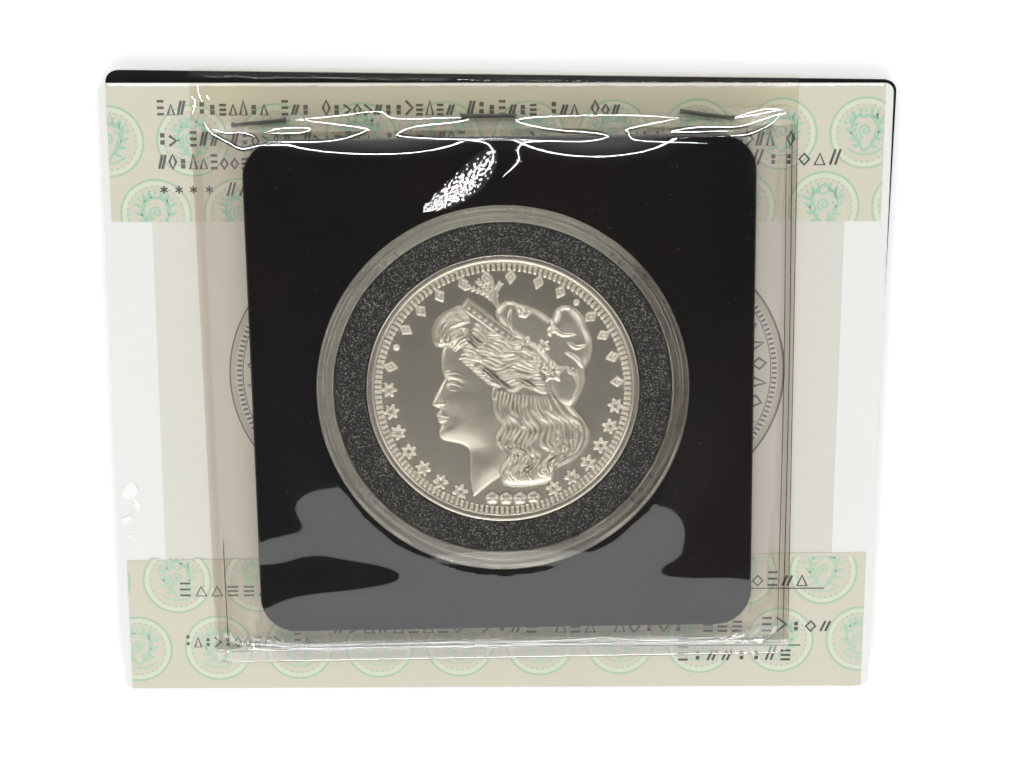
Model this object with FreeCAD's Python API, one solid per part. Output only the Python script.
import FreeCAD, Part
import math
import os

from FreeCAD import Vector

# A coin in a round clear capsule, set in a square black insert, inside the front pocket of a clear
# vinyl flip. The flip is folded over the top edge of a photo certificate and stapled through it.
# Millimetres. The assembly lies on its back: +Z out of the coin's face, +Y to the certificate's top.

# --- certificate card -------------------------------------------------------------------------
PRINT_W, PRINT_H, PRINT_T = 109.2, 88.0, 0.30
PRINT_CORNER_R = 1.3
IMAGE_LEFT, IMAGE_RIGHT, IMAGE_HALF_H = -47.9, 48.5, 36.5
IMAGE_T = 0.05
BOARD_W, BOARD_H, BOARD_T = 108.6, 88.6, 1.20
BOARD_CENTRE = Vector(0.20, 0.75, 0)
BOARD_TURN = -0.7
BOARD_CORNER_R = 1.6
LABEL_T = 0.10
LABEL_HALF_W = 53.5
UPPER_LABEL_BOTTOM = 24.9
LOWER_LABEL_TOP_LEFT, LOWER_LABEL_TOP_RIGHT = -24.4, -23.5

# --- vinyl flip, in its own axes, with the capsule's axis as its origin -------------------------
FLIP_CENTRE = Vector(0.8, 1.9, 0)
FLIP_TURN = 0.8
FILM_T = 0.25
FLIP_LEFT, FLIP_RIGHT, FLIP_BOTTOM = -42.3, 41.2, -41.2
FLIP_CORNER_R = 1.5
SIDE_WELD_W, BOTTOM_WELD_W = 1.7, 2.2
HINGE_Y = 36.0
HINGE_GAP = 0.15
FRONT_GAP = 0.15
REAR_POCKET_GAP = 0.20
REAR_GAP = 0.40
FOLD_TOP_CLEARANCE = 0.10
FOLD_KINK_Y = 44.6

# --- insert, capsule and coin -------------------------------------------------------------------
INSERT_SIDE, INSERT_PLATE_T, INSERT_CORNER_R = 70.0, 1.60, 5.0
INSERT_EDGE_CHAMFER = 0.2
INSERT_SLIDE = 1.5
CAPSULE_R, CAPSULE_T = 25.90, 5.60
CAPSULE_CLEARANCE = 0.05
CAPSULE_WINDOW_T = 1.10
CAPSULE_WALL_T = 1.15
CAPSULE_LIP_T = 1.05
CAPSULE_SPLIT = 2.80
CAPSULE_CHAMFER = 0.35
COIN_R, COIN_T = 19.05, 2.40
COIN_RIM_W, COIN_RELIEF_DEPTH = 1.1, 0.20
FOAM_R, FOAM_T = 23.55, 3.00
WINDOW_CLEARANCE = 0.15
INSERT_CLEARANCE = 0.25

# --- staples --------------------------------------------------------------------------------------
WIRE_W, WIRE_T = 0.70, 0.40
CROWN_L, CLINCH_L = 7.6, 2.6
# Middle of each crown in the flip's axes, and its turn in degrees.
STAPLES = ((-33.0, 37.2, 5.0), (-1.5, 37.7, -0.3), (28.7, 37.4, -8.4))

# --- heights, from the surface that it lies on ------------------------------------------------------
REAR_WINDOW_Z = 0.0
REAR_INNER_Z = REAR_WINDOW_Z + FILM_T + REAR_POCKET_GAP
BOARD_Z = REAR_INNER_Z + FILM_T + REAR_GAP
PRINT_Z = BOARD_Z + BOARD_T
PRINT_TOP_Z = PRINT_Z + PRINT_T
LABEL_TOP_Z = PRINT_TOP_Z + LABEL_T
FOLD_T = 2 * FILM_T
CROWN_Z = LABEL_TOP_Z + FOLD_T
FRONT_INNER_Z = LABEL_TOP_Z + FRONT_GAP
FRONT_WINDOW_Z = FRONT_INNER_Z + FILM_T
CAPSULE_Z = FRONT_WINDOW_Z + 0.10
CAPSULE_TOP_Z = CAPSULE_Z + CAPSULE_T
INSERT_Z = CAPSULE_Z + CAPSULE_T / 2 - INSERT_PLATE_T
WINDOW_TOP_Z = CAPSULE_TOP_Z + WINDOW_CLEARANCE

UP = Vector(0, 0, 1)


def box(x0, x1, y0, y1, z0, z1):
    """A box between two corners."""
    return Part.makeBox(x1 - x0, y1 - y0, z1 - z0, Vector(x0, y0, z0))


def disc(radius, z0, z1):
    """A cylinder about the Z axis."""
    return Part.makeCylinder(radius, z1 - z0, Vector(0, 0, z0))


def ring(outer, inner, z0, z1):
    """A flat ring about the Z axis."""
    return disc(outer, z0, z1).cut(disc(inner, z0, z1))


def rounded_wire(x0, x1, y0, y1, radius, z):
    """A rectangle with round corners, as a closed wire at height z."""
    straight = [
        ((x0 + radius, y0), (x1 - radius, y0)),
        ((x1, y0 + radius), (x1, y1 - radius)),
        ((x1 - radius, y1), (x0 + radius, y1)),
        ((x0, y1 - radius), (x0, y0 + radius)),
    ]
    corners = [
        (x1 - radius, y0 + radius, -45),
        (x1 - radius, y1 - radius, 45),
        (x0 + radius, y1 - radius, 135),
        (x0 + radius, y0 + radius, 225),
    ]
    edges = []
    for index in range(4):
        start, end = straight[index]
        following = straight[(index + 1) % 4][0]
        cx, cy, angle = corners[index]
        middle = Vector(cx + radius * math.cos(math.radians(angle)), cy + radius * math.sin(math.radians(angle)), z)
        edges.append(Part.LineSegment(Vector(*start, z), Vector(*end, z)).toShape())
        edges.append(Part.Arc(Vector(*end, z), middle, Vector(*following, z)).toShape())
    return Part.Wire(edges)


def rounded_plate(x0, x1, y0, y1, radius, z0, z1):
    """A plate with round corners."""
    return Part.Face(rounded_wire(x0, x1, y0, y1, radius, z0)).extrude(UP * (z1 - z0))


def polygon_plate(points, z0, z1):
    """A plate with a straight-sided outline."""
    outline = [Vector(x, y, z0) for x, y in points]
    return Part.Face(Part.makePolygon(outline + outline[:1])).extrude(UP * (z1 - z0))


def placed(shape, turn, centre):
    """The shape turned about Z and moved to a centre."""
    copy = shape.copy()
    copy.rotate(Vector(0, 0, 0), UP, turn)
    copy.translate(centre)
    return copy


def in_flip(shape):
    """A shape drawn in the flip's axes, put on the card."""
    return placed(shape, FLIP_TURN, FLIP_CENTRE)


def backing_board():
    plate = rounded_plate(
        -BOARD_W / 2, BOARD_W / 2, -BOARD_H / 2, BOARD_H / 2, BOARD_CORNER_R, BOARD_Z, BOARD_Z + BOARD_T
    )
    return placed(plate, BOARD_TURN, BOARD_CENTRE)


def print_outline(z0, z1):
    return rounded_plate(-PRINT_W / 2, PRINT_W / 2, -PRINT_H / 2, PRINT_H / 2, PRINT_CORNER_R, z0, z1)


def photo_image():
    """The picture area, level with the white border round it."""
    return box(IMAGE_LEFT, IMAGE_RIGHT, -IMAGE_HALF_H, IMAGE_HALF_H, PRINT_TOP_Z - IMAGE_T, PRINT_TOP_Z)


def photo_print():
    return print_outline(PRINT_Z, PRINT_TOP_Z).cut(photo_image())


def upper_label():
    strip = box(-LABEL_HALF_W, LABEL_HALF_W, UPPER_LABEL_BOTTOM, PRINT_H / 2, PRINT_TOP_Z, LABEL_TOP_Z)
    return strip.common(print_outline(PRINT_TOP_Z, LABEL_TOP_Z))


def lower_label():
    """A strip cut slightly out of square at its top edge."""
    points = [
        (-LABEL_HALF_W, -PRINT_H / 2),
        (LABEL_HALF_W, -PRINT_H / 2),
        (LABEL_HALF_W, LOWER_LABEL_TOP_RIGHT),
        (-LABEL_HALF_W, LOWER_LABEL_TOP_LEFT),
    ]
    return polygon_plate(points, PRINT_TOP_Z, LABEL_TOP_Z).common(print_outline(PRINT_TOP_Z, LABEL_TOP_Z))


def fold_strip():
    """The part of the flip that wraps the card's top edge, front and back, above the two hinge lines."""
    front = LABEL_TOP_Z
    back = BOARD_Z
    tail = FLIP_CENTRE.y + HINGE_Y - 5
    crest = BOARD_CENTRE.y + BOARD_H / 2 + FOLD_TOP_CLEARANCE
    shoulder = PRINT_Z + FOLD_TOP_CLEARANCE
    section = [
        (tail, front),
        (FOLD_KINK_Y, front),
        (crest, shoulder),
        (crest, back),
        (tail, back),
        (tail, back - FOLD_T),
        (crest + FOLD_T / 2, back - FOLD_T),
        (crest + FOLD_T, back - FOLD_T / 2),
        (crest + FOLD_T, shoulder + FOLD_T / 2),
        (FOLD_KINK_Y + FOLD_T / 4, front + FOLD_T),
        (tail, front + FOLD_T),
    ]
    middle = (FLIP_LEFT + FLIP_RIGHT) / 2
    half = (FLIP_RIGHT - FLIP_LEFT) / 2
    outline = [Vector(middle - half, y - FLIP_CENTRE.y, z) for y, z in section]
    strip = Part.Face(Part.makePolygon(outline + outline[:1])).extrude(Vector(2 * half, 0, 0))
    strip = placed(strip, BOARD_TURN, FLIP_CENTRE)
    below_hinge = box(-60, 60, -60, HINGE_Y + HINGE_GAP, -1, CROWN_Z + 1)
    return strip.cut(in_flip(below_hinge))


def staple(x, y, turn):
    """One closed staple: the crown in front, two legs, and the tips folded inwards behind."""
    half = CROWN_L / 2
    clinch_z = BOARD_Z - FOLD_T - WIRE_T
    shape = box(-half, half, -WIRE_W / 2, WIRE_W / 2, CROWN_Z, CROWN_Z + WIRE_T)
    for side in (-1, 1):
        outer = side * half
        inner = side * (half - WIRE_T)
        tip = side * (half - CLINCH_L)
        leg = box(min(outer, inner), max(outer, inner), -WIRE_W / 2, WIRE_W / 2, clinch_z, CROWN_Z + WIRE_T)
        clinch = box(min(outer, tip), max(outer, tip), -WIRE_W / 2, WIRE_W / 2, clinch_z, clinch_z + WIRE_T)
        shape = shape.fuse(leg).fuse(clinch)
    return placed(shape.removeSplitter(), turn, Vector(x, y, 0))


def staples():
    return Part.makeCompound([in_flip(staple(*place)) for place in STAPLES])


def pocket_outline(z0, z1):
    """A sheet of the pocket: square corners at the hinge line, round ones at the bottom."""
    sheet = rounded_plate(FLIP_LEFT, FLIP_RIGHT, FLIP_BOTTOM, HINGE_Y + 5, FLIP_CORNER_R, z0, z1)
    return sheet.cut(box(-60, 60, HINGE_Y - HINGE_GAP, HINGE_Y + 10, z0, z1))


def front_inner_film():
    return in_flip(pocket_outline(FRONT_INNER_Z, FRONT_INNER_Z + FILM_T))


def tent(wall, top_z):
    """The space under the window film, closed by straight walls that lean out to the welds.

    wall is how far this skin lies inside the film's outer skin.
    """
    foot_top = HINGE_Y - HINGE_GAP
    foot = rounded_wire(
        FLIP_LEFT + SIDE_WELD_W + wall,
        FLIP_RIGHT - SIDE_WELD_W - wall,
        FLIP_BOTTOM + BOTTOM_WELD_W + wall,
        foot_top - wall,
        3.0,
        FRONT_WINDOW_Z,
    )
    reach = INSERT_SIDE / 2 + INSERT_CLEARANCE + FILM_T - wall
    side_reach = reach + INSERT_CLEARANCE
    crown = rounded_wire(-side_reach, side_reach, -reach - INSERT_SLIDE, reach, INSERT_CORNER_R, top_z)
    return Part.makeLoft([foot, crown], True, True)


def front_window_film():
    """The clear front of the pocket, standing off the card over the insert and capsule."""
    outside = tent(0.0, WINDOW_TOP_Z + FILM_T)
    inside = tent(FILM_T, WINDOW_TOP_Z)
    margin = pocket_outline(FRONT_WINDOW_Z, FRONT_WINDOW_Z + FILM_T)
    return in_flip(margin.fuse(outside).cut(inside).removeSplitter())


def rear_inner_film():
    return in_flip(pocket_outline(REAR_INNER_Z, REAR_INNER_Z + FILM_T))


def rear_window_film():
    """The outer sheet of the empty rear pocket, with the weld that joins it to the inner sheet."""
    sheet = pocket_outline(REAR_WINDOW_Z, REAR_WINDOW_Z + FILM_T)
    weld = pocket_outline(REAR_WINDOW_Z + FILM_T, REAR_INNER_Z)
    hollow = box(
        FLIP_LEFT + SIDE_WELD_W,
        FLIP_RIGHT - SIDE_WELD_W,
        FLIP_BOTTOM + BOTTOM_WELD_W,
        HINGE_Y,
        REAR_WINDOW_Z + FILM_T,
        REAR_INNER_Z,
    )
    return in_flip(sheet.fuse(weld.cut(hollow)).removeSplitter())


def insert_plate(z0, outer_z):
    """One of the two bonded plates, with the edge chamfered on the face at height outer_z."""
    half = INSERT_SIDE / 2
    plate = rounded_plate(-half, half, -half, half, INSERT_CORNER_R, z0, z0 + INSERT_PLATE_T)
    rim = [edge for edge in plate.Edges if all(abs(v.Z - outer_z) < 1e-6 for v in edge.Vertexes)]
    plate = plate.makeChamfer(INSERT_EDGE_CHAMFER, rim)
    return in_flip(plate.cut(disc(CAPSULE_R + CAPSULE_CLEARANCE, z0 - 1, z0 + INSERT_PLATE_T + 1)))


def capsule_disc(z0, z1, face_z):
    """A round cover blank, chamfered round the face at height face_z."""
    blank = disc(CAPSULE_R, z0, z1)
    rim = [edge for edge in blank.Edges if abs(edge.CenterOfMass.z - face_z) < 1e-6]
    return blank.makeChamfer(CAPSULE_CHAMFER, rim)


def capsule_back_shell():
    """The deeper half, with a lip that the front half slides over."""
    split = CAPSULE_Z + CAPSULE_SPLIT
    floor = CAPSULE_Z + CAPSULE_WINDOW_T
    lip_r = CAPSULE_R - CAPSULE_WALL_T - CAPSULE_CLEARANCE
    lip_top = CAPSULE_TOP_Z - CAPSULE_WINDOW_T - CAPSULE_CLEARANCE
    shell = capsule_disc(CAPSULE_Z, split, CAPSULE_Z).fuse(disc(lip_r, floor, lip_top))
    return in_flip(shell.cut(disc(lip_r - CAPSULE_LIP_T, floor, lip_top)).removeSplitter())


def capsule_front_shell():
    split = CAPSULE_Z + CAPSULE_SPLIT
    ceiling = CAPSULE_TOP_Z - CAPSULE_WINDOW_T
    shell = capsule_disc(split, CAPSULE_TOP_Z, CAPSULE_TOP_Z)
    return in_flip(shell.cut(disc(CAPSULE_R - CAPSULE_WALL_T, split, ceiling)))


def foam_ring():
    floor = CAPSULE_Z + CAPSULE_WINDOW_T
    return in_flip(ring(FOAM_R, COIN_R, floor, floor + FOAM_T))


def coin():
    """The coin, its fields sunk below a raised rim on both faces."""
    middle = CAPSULE_Z + CAPSULE_T / 2
    bottom = middle - COIN_T / 2
    top = middle + COIN_T / 2
    field_r = COIN_R - COIN_RIM_W
    blank = disc(COIN_R, bottom, top)
    blank = blank.cut(disc(field_r, top - COIN_RELIEF_DEPTH, top))
    return in_flip(blank.cut(disc(field_r, bottom, bottom + COIN_RELIEF_DEPTH)))


def build_all():
    """Every sub-part by node name, with the staple holes cut, centred on the whole box."""
    pins = staples()
    parts = {
        "backing_board": backing_board().cut(pins),
        "photo_print": photo_print().cut(pins),
        "photo_image": photo_image(),
        "upper_label": upper_label().cut(pins),
        "lower_label": lower_label(),
        "fold_strip": fold_strip().cut(pins),
        "staples": pins,
        "front_inner_film": front_inner_film(),
        "front_window_film": front_window_film(),
        "rear_inner_film": rear_inner_film(),
        "rear_window_film": rear_window_film(),
        "insert_back_plate": insert_plate(INSERT_Z, INSERT_Z),
        "insert_front_plate": insert_plate(INSERT_Z + INSERT_PLATE_T, INSERT_Z + 2 * INSERT_PLATE_T),
        "capsule_back_shell": capsule_back_shell(),
        "capsule_front_shell": capsule_front_shell(),
        "foam_ring": foam_ring(),
        "coin": coin(),
    }
    whole = Part.makeCompound(list(parts.values())).BoundBox
    shift = Vector(-whole.Center.x, -whole.Center.y, -whole.ZMin)
    for shape in parts.values():
        shape.translate(shift)
    return parts, shift


def main():
    parts, shift = build_all()
    os.makedirs("parts", exist_ok=True)
    for name, shape in parts.items():
        shape.exportStep("parts/" + name + ".step")
    print("shift", round(shift.x, 4), round(shift.y, 4), round(shift.z, 4))


main()
